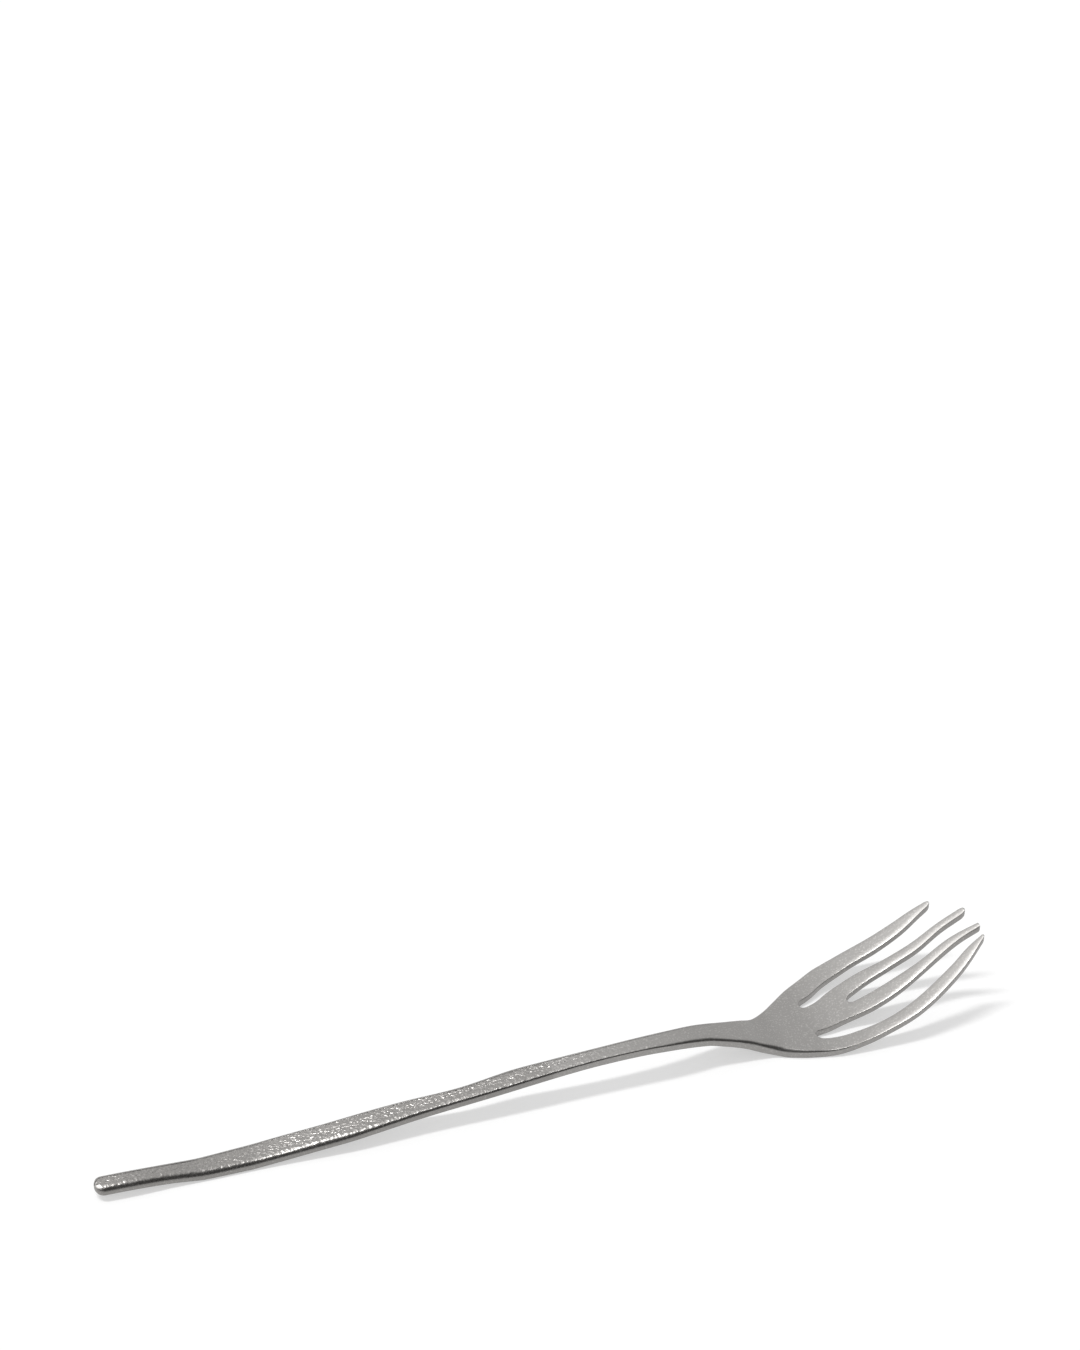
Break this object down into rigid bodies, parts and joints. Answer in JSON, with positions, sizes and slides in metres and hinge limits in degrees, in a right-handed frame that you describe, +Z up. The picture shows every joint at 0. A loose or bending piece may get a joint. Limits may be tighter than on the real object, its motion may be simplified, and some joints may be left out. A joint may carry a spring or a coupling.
{
  "type": "fork",
  "caption": "Long slim steel fork with a wavy, textured, arched handle and a wide satin head whose uneven tines sweep up at their tips.",
  "frame": {"origin": "on the table, under the middle of the fork's outline", "axes": "+X along the fork from the handle to the tips of the tines, +Y to the left, +Z up from the table, with the concave side of the head up"},
  "size_m": [0.22, 0.0294, 0.0226],
  "materials": {
    "textured_steel": "coarse hammered and etched grain that glitters",
    "satin_steel": "fine bead-blasted satin"
  },
  "bodies": {
    "root": {"handle_end": "textured_steel", "handle": "textured_steel", "neck": "satin_steel", "palm": "satin_steel", "left_outer_tine": "satin_steel", "left_inner_tine": "satin_steel", "right_inner_tine": "satin_steel", "right_outer_tine": "satin_steel"}
  },
  "joints": []
}
